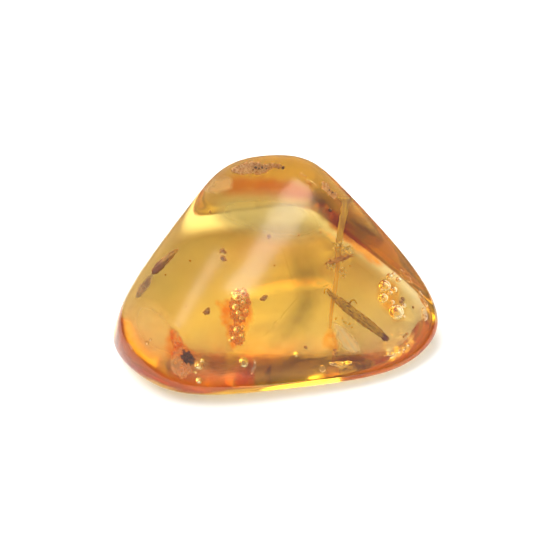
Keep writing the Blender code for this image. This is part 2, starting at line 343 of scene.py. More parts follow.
def finish(name, bm, material, slot, *nodes):
    """Turn the worked shape into one smooth piece of the stone, in place of the named solids."""
    mesh = bpy.data.meshes.new(name)
    bm.to_mesh(mesh)
    bm.free()
    mesh.shade_smooth()
    mesh.materials.append(material)
    piece = bpy.data.objects.new(name, mesh)
    scene.collection.objects.link(piece)
    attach(piece, "root")
    if nodes:
        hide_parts(*nodes)


finish("amber", bm, amber_glass, "amber", "amber_upper", "amber_lower")


# ---- Ribbed stem: a straight plant stalk with lengthwise ribs and faint joints, browned and dry,
# thinning to a curled thread at one end and broken off dark at the other, with one short side twig.

STEM_PATH = [(6.1, -7.5, 0.3), (7.6, -8.8, 0.35), (9.6, -10.4, 0.35), (11.6, -11.8, 0.3),
             (13.1, -12.9, 0.2)]
STEM_RADIUS = [(0, 0.14), (0.1, 0.32), (0.35, 0.58), (0.65, 0.58), (0.9, 0.45), (1, 0.33)]  # mm
STEM_RIBS, RIB_DEPTH = 9, 0.09      # depths are parts of the radius
STEM_JOINTS, JOINT_DEPTH, JOINT_LENGTH = (0.2, 0.33, 0.47, 0.6, 0.71, 0.83), 0.14, 0.008
STEM_GRIT = 0.10
CURL_PATH = [(5.75, -7.95, 0.3), (5.85, -7.4, 0.4), (6.2, -7.3, 0.35), (6.6, -7.75, 0.35)]
TWIG_PATH = [(8.75, -9.25, 0.75), (9.1, -8.8, 0.95), (9.45, -8.75, 1.0), (9.75, -9.15, 0.85)]
TIP_PLACE, TIP_SIZE = (13.25, -13.05, 0.15), (0.95, 0.75, 0.6)
BLOTCH_EDGES, GRAIN_FINER = (0.38, 0.62), 3.5
MATT_SPREAD, RELIEF_STRENGTH = 0.12, 0.8


def mottle_group():
    """Blotches and a fine broken grain at a chosen scale, for every dried or crusted surface."""
    group = bpy.data.node_groups.new("mottle", "ShaderNodeTree")
    face = group.interface
    face.new_socket("Place", in_out="INPUT", socket_type="NodeSocketVector")
    face.new_socket("Scale", in_out="INPUT", socket_type="NodeSocketFloat")
    face.new_socket("Blotch", in_out="OUTPUT", socket_type="NodeSocketFloat")
    face.new_socket("Grain", in_out="OUTPUT", socket_type="NodeSocketFloat")
    add = group.nodes.new
    given, given_out = add("NodeGroupInput"), add("NodeGroupOutput")
    blotch, fine = add("ShaderNodeTexNoise"), add("ShaderNodeTexNoise")
    pits = add("ShaderNodeTexVoronoi")
    finer, tighten, blend = add("ShaderNodeMath"), add("ShaderNodeMapRange"), add("ShaderNodeMath")
    finer.operation, finer.inputs[1].default_value = "MULTIPLY", GRAIN_FINER
    tighten.inputs["From Min"].default_value = BLOTCH_EDGES[0]
    tighten.inputs["From Max"].default_value = BLOTCH_EDGES[1]
    blend.operation, blend.inputs[2].default_value = "MULTIPLY_ADD", 0.0
    blotch.inputs["Detail"].default_value = 3
    fine.inputs["Detail"].default_value = 6
    link = group.links.new
    link(given.outputs["Scale"], finer.inputs[0])
    for texture, scale in ((blotch, given.outputs["Scale"]), (fine, finer.outputs[0]),
                           (pits, finer.outputs[0])):
        link(given.outputs["Place"], texture.inputs["Vector"])
        link(scale, texture.inputs["Scale"])
    link(blotch.outputs[0], tighten.inputs["Value"])
    link(fine.outputs[0], blend.inputs[0])
    link(pits.outputs["Distance"], blend.inputs[1])
    link(tighten.outputs[0], given_out.inputs["Blotch"])
    link(blend.outputs[0], given_out.inputs["Grain"])
    return group


MOTTLE = mottle_group()


def browned_and_painted_light(name, light, dark, grain, roughness, relief, place=(0, 0, 0), turn=0, stretch=1.0,
            end=None, alpha=None, soft_rim=False):
    """Dry plant matter, crust or froth, and also the milky and olive sheets of painted light and
    shade:
    two colours in blotches grain mm wide, drawn out stretch times along the piece. end gives a
    third colour from one distance mm along the piece to another, alpha makes it let light through,
    and soft_rim lets a flake thin out to nothing at its rim."""
    material = bpy.data.materials.new(name)
    material.use_nodes = True
    tree = material.node_tree
    add, link = tree.nodes.new, tree.links.new
    surface = tree.nodes["Principled BSDF"]
    coords, lay = add("ShaderNodeTexCoord"), add("ShaderNodeMapping")
    mottle, colour = add("ShaderNodeGroup"), add("ShaderNodeMix")
    mottle.node_tree = MOTTLE
    lay.vector_type = "TEXTURE"
    lay.inputs["Location"].default_value = seam(place)
    lay.inputs["Rotation"].default_value = (SEAM_FRAME @ Matrix.Rotation(turn, 3, "Z")).to_euler()
    lay.inputs["Scale"].default_value = (stretch, 1, 1)
    mottle.inputs["Scale"].default_value = 1 / (grain * MM)
    link(coords.outputs["Object"], lay.inputs["Vector"])
    link(lay.outputs["Vector"], mottle.inputs["Place"])
    colour.data_type = "RGBA"
    colour.inputs[6].default_value, colour.inputs[7].default_value = (*light, 1), (*dark, 1)
    link(mottle.outputs["Blotch"], colour.inputs["Factor"])
    shade = colour.outputs[2]
    if end:
        third, start_at, full_at = end
        split, ramp = add("ShaderNodeSeparateXYZ"), add("ShaderNodeMapRange")
        fade = add("ShaderNodeMix")
        fade.data_type = "RGBA"
        ramp.inputs["From Min"].default_value = start_at * MM / stretch
        ramp.inputs["From Max"].default_value = full_at * MM / stretch
        link(lay.outputs["Vector"], split.inputs[0])
        link(split.outputs["X"], ramp.inputs["Value"])
        link(ramp.outputs["Result"], fade.inputs["Factor"])
        link(shade, fade.inputs[6])
        fade.inputs[7].default_value = (*third, 1)
        shade = fade.outputs[2]
    link(shade, surface.inputs["Base Color"])
    matt = add("ShaderNodeMapRange")
    matt.inputs["To Min"].default_value = roughness - MATT_SPREAD
    matt.inputs["To Max"].default_value = roughness + MATT_SPREAD
    link(mottle.outputs["Grain"], matt.inputs["Value"])
    link(matt.outputs["Result"], surface.inputs["Roughness"])
    bump = add("ShaderNodeBump")
    bump.inputs["Strength"].default_value = RELIEF_STRENGTH
    bump.inputs["Distance"].default_value = relief * MM
    link(mottle.outputs["Grain"], bump.inputs["Height"])
    link(bump.outputs["Normal"], surface.inputs["Normal"])
    if alpha:
        thin = add("ShaderNodeMapRange")
        thin.inputs["To Min"].default_value, thin.inputs["To Max"].default_value = alpha
        link(mottle.outputs["Blotch"], thin.inputs["Value"])
        body = thin.outputs["Result"]
        if soft_rim:
            core, worn = add("ShaderNodeAttribute"), add("ShaderNodeMath")
            core.attribute_name = "core"
            worn.operation = "MULTIPLY"
            link(body, worn.inputs[0])
            link(core.outputs["Fac"], worn.inputs[1])
            body = worn.outputs[0]
        link(body, surface.inputs["Alpha"])
    return material


def along(path, t):
    """The place and heading at a part t of the way along a smooth line through the places."""
    spans = len(path) - 1
    span = min(int(t * spans), spans - 1)
    f = t * spans - span
    a, b = Vector(path[span]), Vector(path[span + 1])
    before = Vector(path[span - 1]) if span else 2 * a - b
    after = Vector(path[span + 2]) if span + 2 <= spans else 2 * b - a
    spot = 0.5 * (2 * a + (b - before) * f + (2 * before - 5 * a + 4 * b - after) * f * f
                  + (3 * a - before - 3 * b + after) * f ** 3)
    slope = 0.5 * ((b - before) + 2 * (2 * before - 5 * a + 4 * b - after) * f
                   + 3 * (3 * a - before - 3 * b + after) * f * f)
    return spot, slope.normalized()


def rod(bm, path, reach, rings, sides, flat=1.0):
    """A closed rod along a line of places. reach(t, angle) is its radius mm, and flat thins it
    outwards."""
    start = len(bm.verts)
    bmesh.ops.create_cone(bm, cap_ends=True, cap_tris=True, segments=sides, radius1=1, radius2=1,
                          depth=1)
    bm.verts.ensure_lookup_table()
    lengthwise = {e for v in bm.verts[start:] for e in v.link_edges
                  if abs(e.verts[0].co.z - e.verts[1].co.z) > 0.5}
    bmesh.ops.subdivide_edges(bm, edges=list(lengthwise), cuts=rings)
    bm.verts.ensure_lookup_table()
    for vert in bm.verts[start:]:
        t, angle = min(max(vert.co.z + 0.5, 0), 1), math.atan2(vert.co.y, vert.co.x)
        spot, heading = along(path, t)
        side = heading.cross(Vector((0, 0, 1))).normalized()
        over = side.cross(heading)
        hub = min(math.hypot(vert.co.x, vert.co.y), 1) * reach(t, angle)
        vert.co = seam(spot + side * math.cos(angle) * hub + over * math.sin(angle) * hub * flat)
    bmesh.ops.recalc_face_normals(bm, faces=faces_since(bm, start))


def bearing(path):
    """The turn of a line of places, from its first to its last."""
    return math.atan2(path[-1][1] - path[0][1], path[-1][0] - path[0][0])


def profile(marks, t):
    """A size read between its marks (t, mm), eased at each mark."""
    for (t0, r0), (t1, r1) in zip(marks, marks[1:]):
        if t <= t1:
            f = (t - t0) / (t1 - t0)
            return r0 + (r1 - r0) * f * f * (3 - 2 * f)
    return marks[-1][1]


def lump(bm, place, size, turn=0.0, tilt=0.0, detail=4, knobs=0.0, pitch=1.5, rough=0.0, seed=0):
    """A closed lump of the given sizes mm; knobs raise round bosses, rough breaks the skin."""
    made = bmesh.ops.create_icosphere(bm, subdivisions=detail, radius=1)["verts"]
    pose = Euler((0, tilt, turn)).to_matrix()
    for vert in made:
        way = vert.co + Vector((seed * 3.7, 0, 0))
        swell = 1 + knobs * (0.45 - noise.noise(way * pitch, noise_basis="VORONOI_F1"))
        swell += rough * noise.turbulence(way * 2.5, 3, False)
        body = Vector([c * s / 2 * swell for c, s in zip(vert.co, size)])
        vert.co = seam(Vector(place) + pose @ body)
    return made


def stem_reach(t, angle):
    ribs = 1 + RIB_DEPTH * math.cos(STEM_RIBS * angle)
    joint = 1 - sum(JOINT_DEPTH * math.exp(-((t - at) / JOINT_LENGTH) ** 2) for at in STEM_JOINTS)
    grit = noise.noise(Vector((t * 45, math.cos(angle) * 3, math.sin(angle) * 3)))
    return profile(STEM_RADIUS, t) * ribs * joint * (1 + STEM_GRIT * grit)


stem_turn = bearing(STEM_PATH)
stem_brown = browned_and_painted_light("stem_brown", (1.0, 0.60, 0.06), (0.26, 0.08, 0.01), 0.12, 0.55, 0.09,
                     STEM_PATH[0], stem_turn, 5, end=((0.20, 0.06, 0.03), 8.4, 9.1),
                     alpha=(0.7, 0.9))
bm = bmesh.new()
rod(bm, STEM_PATH, stem_reach, 150, 72)
rod(bm, CURL_PATH, lambda t, angle: 0.07 + 0.03 * math.sin(9 * t), 20, 8)
rod(bm, TWIG_PATH, lambda t, angle: 0.12 - 0.05 * t, 20, 10)
finish("ribbed_stem", bm, stem_brown, "stem", "ribbed_stem")
tip_brown = browned_and_painted_light("tip_brown", (0.28, 0.08, 0.05), (0.08, 0.02, 0.015), 0.2, 0.4, 0.06)
bm = bmesh.new()
lump(bm, TIP_PLACE, TIP_SIZE, stem_turn, rough=0.5, seed=2)
finish("stem_tip", bm, tip_brown, "stem")


# ---- Flat stalk: a strap of dried leaf stalk with raised veins, flared across its top and worn to
# a narrow strand below, where it runs behind the stem.

STALK_PATH = [(8.55, 5.1, 0.0), (8.35, 3.4, 0.0), (8.05, 1.7, 0.0), (7.75, -0.2, -0.1),
              (7.6, -1.9, -0.3), (7.5, -4.0, -0.5), (7.3, -6.0, -0.6), (6.95, -8.2, -0.75),
              (6.7, -10.2, -0.8), (6.6, -12.0, -0.8)]
STALK_WIDTH = [(0, 0.95), (0.04, 0.42), (0.3, 0.38), (0.42, 0.34), (0.55, 0.24), (0.75, 0.27),
               (0.9, 0.22), (1, 0.12)]
STALK_VEINS, VEIN_DEPTH = 5, 0.05
STALK_WEAR, STALK_TURN, STALK_FLATNESS = 0.22, -1.65, 0.3


def stalk_reach(t, angle):
    vein = 1 + VEIN_DEPTH * math.cos(2 * STALK_VEINS * angle)
    wear = 1 + STALK_WEAR * noise.noise(Vector((t * 26, 2 * math.cos(angle), 5)))
    return profile(STALK_WIDTH, t) * vein * wear


stalk_gold = browned_and_painted_light("stalk_gold", (1.0, 0.64, 0.07), (0.50, 0.24, 0.02), 0.3, 0.5, 0.05,
                     STALK_PATH[0], STALK_TURN, 8, end=((1.0, 0.58, 0.08), 6.0, 9.5),
                     alpha=(0.65, 0.9))
bm = bmesh.new()
rod(bm, STALK_PATH, stalk_reach, 160, 48, flat=STALK_FLATNESS)
finish("flat_stalk", bm, stalk_gold, "stalk", "flat_stalk")


# ---- Leaf scrap: a torn, ragged strip of brown leaf lying across the stalk, with frayed barbs and
# crumbs of pale dust around it.

SCRAP_PLACE, SCRAP_SIZE, SCRAP_TURN = (7.6, -3.3, 0.42), (2.5, 0.5, 0.28), 0.4
SCRAP_BARBS = [                     # start, end, thickness mm
    ((6.7, -3.6, 0.5), (6.3, -3.3, 0.6), 0.13), ((6.8, -3.6, 0.5), (6.5, -4.1, 0.5), 0.14),
    ((7.3, -3.4, 0.5), (7.1, -2.9, 0.5), 0.09), ((7.9, -3.1, 0.5), (7.8, -2.6, 0.6), 0.1),
    ((8.2, -3.0, 0.5), (8.6, -2.6, 0.6), 0.1), ((8.3, -3.0, 0.45), (8.9, -3.2, 0.5), 0.09),
    ((7.3, -3.5, 0.45), (7.2, -3.9, 0.5), 0.08), ((7.9, -3.2, 0.5), (8.1, -3.7, 0.5), 0.08),
]
BARB_BOW = Vector((0.05, -0.05, 0.08))
DUST = [                            # place, size mm
    ((7.3, -1.2, 0.2), 0.45), ((7.8, -1.0, 0.1), 0.35), ((8.3, -1.7, 0.2), 0.5),
    ((8.8, -1.5, 0.2), 0.4), ((9.3, -1.6, 0.1), 0.3), ((7.5, -2.0, 0.3), 0.4),
    ((6.3, -4.2, 0.4), 0.5), ((7.0, -4.1, 0.3), 0.4), ((8.0, -4.6, 0.3), 0.45),
    ((8.4, -4.9, 0.3), 0.35), ((8.1, -5.4, 0.3), 0.3), ((6.7, -4.6, 0.3), 0.3),
    ((9.0, -4.0, 0.2), 0.25), ((7.2, -11.0, 0.1), 0.3), ((8.3, -11.4, 0.1), 0.35),
    ((8.9, -11.6, 0.2), 0.3), ((8.0, -10.9, 0.1), 0.2), ((9.2, -12.0, 0.1), 0.22),
]

scrap_brown = browned_and_painted_light("scrap_brown", (1.0, 0.50, 0.14), (0.45, 0.16, 0.04), 0.25, 0.65, 0.08,
                      SCRAP_PLACE, SCRAP_TURN, 3, alpha=(0.7, 0.95))
bm = bmesh.new()
lump(bm, SCRAP_PLACE, SCRAP_SIZE, SCRAP_TURN, detail=5, knobs=0.5, pitch=4, rough=0.35, seed=4)
for start_at, end_at, thick in SCRAP_BARBS:
    middle = (Vector(start_at) + Vector(end_at)) / 2 + BARB_BOW
    rod(bm, [start_at, middle, end_at], lambda t, angle: thick * (1 - 0.6 * t), 6, 7)
finish("leaf_scrap", bm, scrap_brown, "scrap", "leaf_scrap")
dust_pale = browned_and_painted_light("dust_pale", (1.0, 0.80, 0.30), (1.0, 0.60, 0.12), 0.12, 0.5, 0.04,
                    alpha=(0.6, 0.95))
bm = bmesh.new()
for number, (place, across) in enumerate(DUST):
    lump(bm, place, (across, across * 0.6, across * 0.5), number * 1.3, detail=3, knobs=0.8,
         rough=0.8, seed=number)
finish("pale_dust", bm, dust_pale, "scrap")


# ---- Bud scale: a small narrow bud with overlapping scales, golden at its upper tip and nearly
# black at the base, and a thin, darker grey see-through sheet beside it.

BUD_PATH = [(-12.0, -3.0, 0.0), (-12.6, -3.6, 0.05), (-13.4, -4.5, 0.05), (-14.3, -5.6, 0.0),
            (-15.0, -6.5, 0.0)]
BUD_RADIUS = [(0, 0.05), (0.12, 0.2), (0.4, 0.36), (0.7, 0.44), (0.9, 0.34), (1, 0.12)]
BUD_STEPS, STEP_HEIGHT, STEP_LENGTH = (0.3, 0.5, 0.68, 0.84), 0.16, 0.05
BUD_FLATNESS = 0.7
GREY_SHEET_RIM = [(-14.7, -6.0, -0.15), (-15.7, -6.8, -0.2), (-16.6, -8.2, -0.25),
                (-17.2, -9.6, -0.2), (-16.6, -9.7, -0.2), (-15.8, -8.9, -0.2), (-15.1, -7.8, -0.2)]


def bud_reach(t, angle):
    scales = 1 + 0.1 * math.cos(5 * angle + 9 * t)
    lap = 1 + sum(STEP_HEIGHT * math.exp(-max(t - at, 0) / STEP_LENGTH) * (t > at)
                  for at in BUD_STEPS)
    return profile(BUD_RADIUS, t) * scales * lap


bud_brown = browned_and_painted_light("bud_brown", (0.80, 0.40, 0.07), (0.22, 0.08, 0.02), 0.15, 0.5, 0.06,
                    BUD_PATH[0], bearing(BUD_PATH), 3, end=((0.24, 0.06, 0.02), 1.8, 3.4),
                    alpha=(0.7, 0.92))
bm = bmesh.new()
rod(bm, BUD_PATH, bud_reach, 90, 40, flat=BUD_FLATNESS)
finish("bud_scale", bm, bud_brown, "bud", "bud_scale")
# a thin, darker grey see-through sheet along the bud's side
grey_sheet_tint = browned_and_painted_light("grey_sheet_tint", (0.42, 0.22, 0.12), (0.30, 0.14, 0.08), 0.8, 0.35, 0.03,
                        alpha=(0.5, 0.75), soft_rim=True)
bm = bmesh.new()
flake(bm, GREY_SHEET_RIM, 0.03, 0.1, 0.1, seed=3, soft=0.25)
finish("grey_sheet", bm, grey_sheet_tint, "bud")


# ---- Centre crumb: two lobes of foamy rotten wood with a stain of reddened resin around them and
# a few dark grains on top.

LOBES = [                           # place, size mm, turn
    ((-4.5, -10.1, 0.0), (2.1, 3.7, 1.1), -0.1), ((-4.8, -13.7, 0.0), (1.5, 2.3, 1.0), 0.2),
]
HALO_RIM = [(-7.7, -9.0, -0.8), (-6.9, -9.2, -0.8), (-5.9, -9.0, -0.8), (-5.5, -7.7, -0.8),
            (-4.4, -7.1, -0.8), (-3.2, -7.9, -0.8), (-2.7, -9.8, -0.8), (-3.0, -11.6, -0.8),
            (-3.5, -13.5, -0.8), (-4.3, -15.0, -0.8), (-5.4, -15.7, -0.8), (-6.2, -14.8, -0.8),
            (-6.2, -13.2, -0.8), (-6.8, -11.8, -0.8), (-7.3, -10.3, -0.8)]
CRUMB_GRAINS = [((-5.1, -8.6, 0.62), 0.16), ((-5.2, -10.0, 0.6), 0.14), ((-4.6, -11.8, 0.6), 0.22),
                ((-3.8, -9.8, 0.6), 0.15), ((-4.6, -10.5, 0.68), 0.12), ((-4.2, -13.2, 0.6), 0.12)]

crumb_peach = browned_and_painted_light("crumb_peach", (1.0, 0.50, 0.12), (0.92, 0.22, 0.03), 0.4, 0.3, 0.1,
                      alpha=(0.3, 0.7))
bm = bmesh.new()
for number, (place, size, turn) in enumerate(LOBES):
    lump(bm, place, size, turn, detail=6, knobs=0.28, pitch=3.2, rough=0.12, seed=number)
finish("centre_crumb", bm, crumb_peach, "crumb", "centre_crumb")


def stain_and_shade(name, thin, deep, blot):
    """A clear tinted sheet: clear like the rest, but it colours the light, less and less towards
    the rim of its flake. It makes the discoloured resin along old cracks, and also painted shade
    (the grey and brown sheets) and a painted orange glow along the right-hand ridge."""
    material = bpy.data.materials.new(name)
    material.use_nodes = True
    tree = material.node_tree
    add, link = tree.nodes.new, tree.links.new
    surface = tree.nodes["Principled BSDF"]
    coords, mottle, colour = add("ShaderNodeTexCoord"), add("ShaderNodeGroup"), add("ShaderNodeMix")
    mottle.node_tree = MOTTLE
    mottle.inputs["Scale"].default_value = 1 / (blot * MM)
    colour.data_type = "RGBA"
    colour.inputs[6].default_value, colour.inputs[7].default_value = (*thin, 1), (*deep, 1)
    link(coords.outputs["Object"], mottle.inputs["Place"])
    core, fade = add("ShaderNodeAttribute"), add("ShaderNodeMix")
    core.attribute_name = "core"
    fade.data_type = "RGBA"
    fade.inputs[6].default_value = (1, 1, 1, 1)
    link(mottle.outputs["Blotch"], colour.inputs["Factor"])
    link(core.outputs["Fac"], fade.inputs["Factor"])
    link(colour.outputs[2], fade.inputs[7])
    link(fade.outputs[2], surface.inputs["Base Color"])
    surface.inputs["Roughness"].default_value = 0
    surface.inputs["IOR"].default_value = 1.0
    surface.inputs["Transmission Weight"].default_value = 1
    return material


red_stain = stain_and_shade("red_stain", (1.0, 0.70, 0.38), (1.0, 0.42, 0.12), 1.2)
bm = bmesh.new()
flake(bm, HALO_RIM, 0.05, 0.1, 0.5, seed=5, soft=0.6)
finish("centre_stain", bm, red_stain, "crumb")
grain_dark = browned_and_painted_light("grain_dark", (0.20, 0.06, 0.03), (0.05, 0.015, 0.01), 0.2, 0.45, 0.06)
bm = bmesh.new()
for number, (place, across) in enumerate(CRUMB_GRAINS):
    lump(bm, place, (across,) * 3, detail=2, rough=0.8, seed=number)
finish("crumb_grains", bm, grain_dark, "grain")


# ---- Left crumb: a pale blistered sac and a strand of decayed wood, hanging from a wedge of
# reddened resin, with a coal-black grain and a chip of the same lying on them.

SAC_PLACE, SAC_SIZE, SAC_TURN = (-11.3, -17.0, -1.1), (2.1, 3.6, 1.0), 0.15
WEDGE_RIM = [(-13.3, -12.8, -0.6), (-12.4, -12.9, -0.6), (-11.5, -14.0, -0.6), (-10.4, -15.2, -0.7),
             (-9.4, -16.4, -0.8), (-9.6, -17.6, -0.9), (-10.6, -17.0, -0.9), (-12.0, -16.8, -0.9),
             (-13.2, -17.4, -0.9), (-13.5, -15.0, -0.7)]
STRAND_PLACE, STRAND_SIZE, STRAND_TURN = (-11.9, -14.6, -0.9), (1.0, 2.6, 0.5), 0.35
COAL_PLACE, COAL_SIZE, COAL_TURN = (-10.7, -16.9, -0.05), (0.9, 1.2, 0.5), 0.5
CHIP_PLACE, CHIP_SIZE = (-10.2, -17.3, 0.05), (0.35, 0.8, 0.2)

sac_peach = browned_and_painted_light("sac_peach", (1.0, 0.68, 0.34), (1.0, 0.42, 0.12), 0.7, 0.3, 0.06,
                    alpha=(0.2, 0.45))
bm = bmesh.new()
lump(bm, SAC_PLACE, SAC_SIZE, SAC_TURN, detail=6, knobs=0.25, pitch=2.0, rough=0.06, seed=7)
lump(bm, STRAND_PLACE, STRAND_SIZE, STRAND_TURN, detail=5, knobs=0.2, pitch=2, rough=0.5, seed=9)
finish("left_crumb", bm, sac_peach, "crumb", "left_crumb")
bm = bmesh.new()
flake(bm, WEDGE_RIM, 0.05, 0.05, 0.3, seed=7, soft=0.6)
finish("left_stain", bm, red_stain, "crumb")
bm = bmesh.new()
lump(bm, COAL_PLACE, COAL_SIZE, COAL_TURN, detail=5, knobs=0.5, pitch=1.3, rough=0.9, seed=3)
lump(bm, CHIP_PLACE, CHIP_SIZE, COAL_TURN, detail=3, rough=0.6, seed=5)
finish("dark_grain", bm, grain_dark, "grain", "dark_grain")


# ---- Fan: a pale, finely grained splinter of wood at the stalk's foot, with leaves of stained
# resin beside it and below it, and one more around the bubbles to its right, all in the seam.

FAN_RIM = [(6.7, -10.9, -0.6), (7.6, -11.2, -0.6), (8.6, -12.0, -0.6), (9.6, -12.9, -0.7),
           (10.6, -14.3, -0.8), (10.0, -15.2, -0.9), (8.6, -15.0, -0.9), (7.6, -13.9, -0.8),
           (7.0, -12.4, -0.7)]
FAN_MIDDLE, FAN_TURN = (8.5, -13, -0.8), -1.0       # its grain runs this way
FOOT_RIM = [(5.2, -14.0, -1.0), (5.9, -12.4, -0.95), (6.5, -11.0, -0.95), (7.2, -12.4, -1.0),
            (8.0, -14.4, -1.05), (7.4, -15.3, -1.1), (6.2, -14.9, -1.05)]
SOLE_RIM = [(6.0, -15.9, -1.1), (7.9, -15.4, -1.0), (9.6, -15.0, -1.0), (10.7, -14.8, -1.0),
            (10.5, -15.8, -1.2), (8.4, -16.1, -1.3), (6.9, -16.4, -1.3)]
TRAIL_RIM = [(10.0, -14.9, -0.9), (10.6, -14.9, -0.9), (11.0, -15.6, -1.2), (10.9, -16.4, -1.5),
             (10.5, -16.3, -1.4), (10.3, -15.6, -1.1)]
FOAM_RIM = [(12.2, -5.4, -0.7), (13.6, -4.4, -0.7), (15.4, -4.9, -0.7), (15.6, -7.0, -0.7),
            (16.3, -8.8, -0.7), (15.9, -10.8, -0.7), (14.3, -11.2, -0.7), (13.2, -9.6, -0.7),
            (11.9, -8.3, -0.7)]

fan_pale = browned_and_painted_light("fan_pale", (1.0, 0.88, 0.70), (1.0, 0.74, 0.42), 0.5, 0.4, 0.004,
                   FAN_MIDDLE, FAN_TURN, 6, alpha=(0.6, 0.8), soft_rim=True)
bm = bmesh.new()
flake(bm, FAN_RIM, 0.04, 0.12, 0.2, seed=8)
finish("wood_fan", bm, fan_pale, "stalk")
foot_stain = stain_and_shade("foot_stain", (1.0, 0.84, 0.5), (1.0, 0.66, 0.27), 0.9)
bm = bmesh.new()
flake(bm, FOOT_RIM, 0.05, 0.1, 0.3, seed=9, soft=0.35)
flake(bm, SOLE_RIM, 0.05, 0.15, 0.3, seed=10)
flake(bm, TRAIL_RIM, 0.05, 0.05, 0.15, seed=12, soft=0.2)
finish("foot_stains", bm, foot_stain, "crumb")
bm = bmesh.new()
flake(bm, FOAM_RIM, 0.05, 0.1, 0.3, seed=13, soft=1.0)
foam_stain = stain_and_shade("foam_stain", (1.0, 0.84, 0.45), (1.0, 0.68, 0.25), 1.5)
finish("foam_stain", bm, foam_stain, "crumb")


# ---- Rind: two patches of the lump's old pitted skin, left unpolished inside the far end, with a
# band of reddened resin below them, and along the right-hand ridge an orange band that is a painted
# glow.

RIND_RIMS = [
    [(-5.4, 8.2, -0.7), (-4.2, 8.9, -0.7), (-2.6, 9.3, -0.7), (-0.8, 9.4, -0.7), (1.0, 9.3, -0.7),
     (0.2, 8.9, -0.7), (-1.0, 8.4, -0.7), (-2.4, 7.9, -0.7), (-3.8, 7.7, -0.7), (-5.0, 7.7, -0.7)],
    [(5.2, 7.4, -0.6), (6.0, 7.2, -0.6), (6.9, 6.4, -0.6), (7.6, 5.5, -0.6), (7.3, 5.1, -0.6),
     (6.5, 5.5, -0.6), (5.7, 6.2, -0.6)],
]
RESIN_AND_GLOW_BANDS = [                           # fade in from the rim mm, rim
    (1.2, [(-6.8, 7.6, -1.3), (-4.6, 8.0, -1.3), (-1.2, 8.1, -1.3), (2.0, 8.0, -1.3),
           (4.2, 7.2, -1.3), (5.4, 5.8, -1.3), (5.2, 4.6, -1.3), (3.0, 4.2, -1.3),
           (0.0, 4.4, -1.3), (-3.0, 4.3, -1.3), (-6.0, 4.2, -1.3), (-7.6, 5.0, -1.3)]),
    # painted light: this band, along the right-hand ridge, is a painted orange glow
    (0.6, [(4.9, 5.0, -1.4), (6.6, 4.4, -1.4), (9.1, 1.8, -1.4), (11.3, -0.6, -1.4),
           (14.1, -3.2, -1.4), (12.7, -3.9, -1.4), (10.2, -2.1, -1.4), (7.5, 0.4, -1.4),
           (5.4, 3.0, -1.4)]),
]
RIND_GRAINS = [((-2.6, 8.6, -0.1), 0.3), ((-2.2, 8.5, -0.1), 0.22), ((-1.8, 8.7, -0.15), 0.26),
               ((-2.9, 8.3, -0.1), 0.2), ((-1.3, 8.6, -0.2), 0.18), ((0.8, 8.9, -0.3), 0.4),
               ((0.3, 8.8, -0.3), 0.25), ((6.9, 5.9, -0.2), 0.25), ((6.5, 6.2, -0.2), 0.18),
               ((6.6, 3.4, 0.0), 0.45)]

rind_pink = browned_and_painted_light("rind_pink", (1.0, 0.66, 0.38), (0.72, 0.28, 0.09), 0.2, 0.6, 0.12,
                    alpha=(1.0, 0.85), soft_rim=True)
bm = bmesh.new()
for number, rim in enumerate(RIND_RIMS):
    flake(bm, rim, 0.25, 0.3, 0.35, seed=number + 14, soft=0.25)
finish("rind_patches", bm, rind_pink, "crumb")
bm = bmesh.new()
for number, (soft, rim) in enumerate(RESIN_AND_GLOW_BANDS):
    flake(bm, rim, 0.05, 0.1, 0.3, seed=number + 11, soft=soft)
# orange tint: reddened resin in the first band, a painted glow in the second
orange_stain_and_glow = stain_and_shade("orange_stain_and_glow", (1.0, 0.60, 0.22), (0.95, 0.48, 0.13), 2.5)
finish("far_stain_and_ridge_glow", bm, orange_stain_and_glow, "crumb")
bm = bmesh.new()
for number, (place, across) in enumerate(RIND_GRAINS):
    lump(bm, place, (across, across * 0.8, across * 0.6), number, detail=3, rough=0.8, seed=number)
finish("rind_grains", bm, grain_dark, "grain")


# ---- Clouds: faint tinted sheets laid inside the stone, so thin at the rim that they show no edge.
# They are painted shade and painted light: grey patches and brown bands paint shade across the
# face, along the right-hand ridge and along the near edge, an olive haze paints the upper middle of
# the face darker, and milky peach veils paint the corners paler and lighter.

# painted shade: grey patches and a diagonal band across the face
SHADE_PATCH_RIMS = [
    [(-8.2, 4.6, -1.7), (-4.0, 5.4, -1.7), (0.0, 5.4, -1.7), (4.2, 4.6, -1.7), (5.2, 2.6, -1.7),
     (2.6, 1.6, -1.7), (-1.0, 0.6, -1.7), (-4.8, -1.2, -1.7), (-8.6, 0.2, -1.7)],
    [(0.4, -0.8, -1.7), (3.2, -0.4, -1.7), (6.4, -1.6, -1.7), (7.6, -4.6, -1.7), (6.2, -8.6, -1.7),
     (4.2, -12.6, -1.7), (1.4, -15.4, -1.7), (-2.6, -15.6, -1.7), (-0.6, -12.2, -1.7),
     (2.0, -8.4, -1.7), (0.8, -5.0, -1.7)],
]
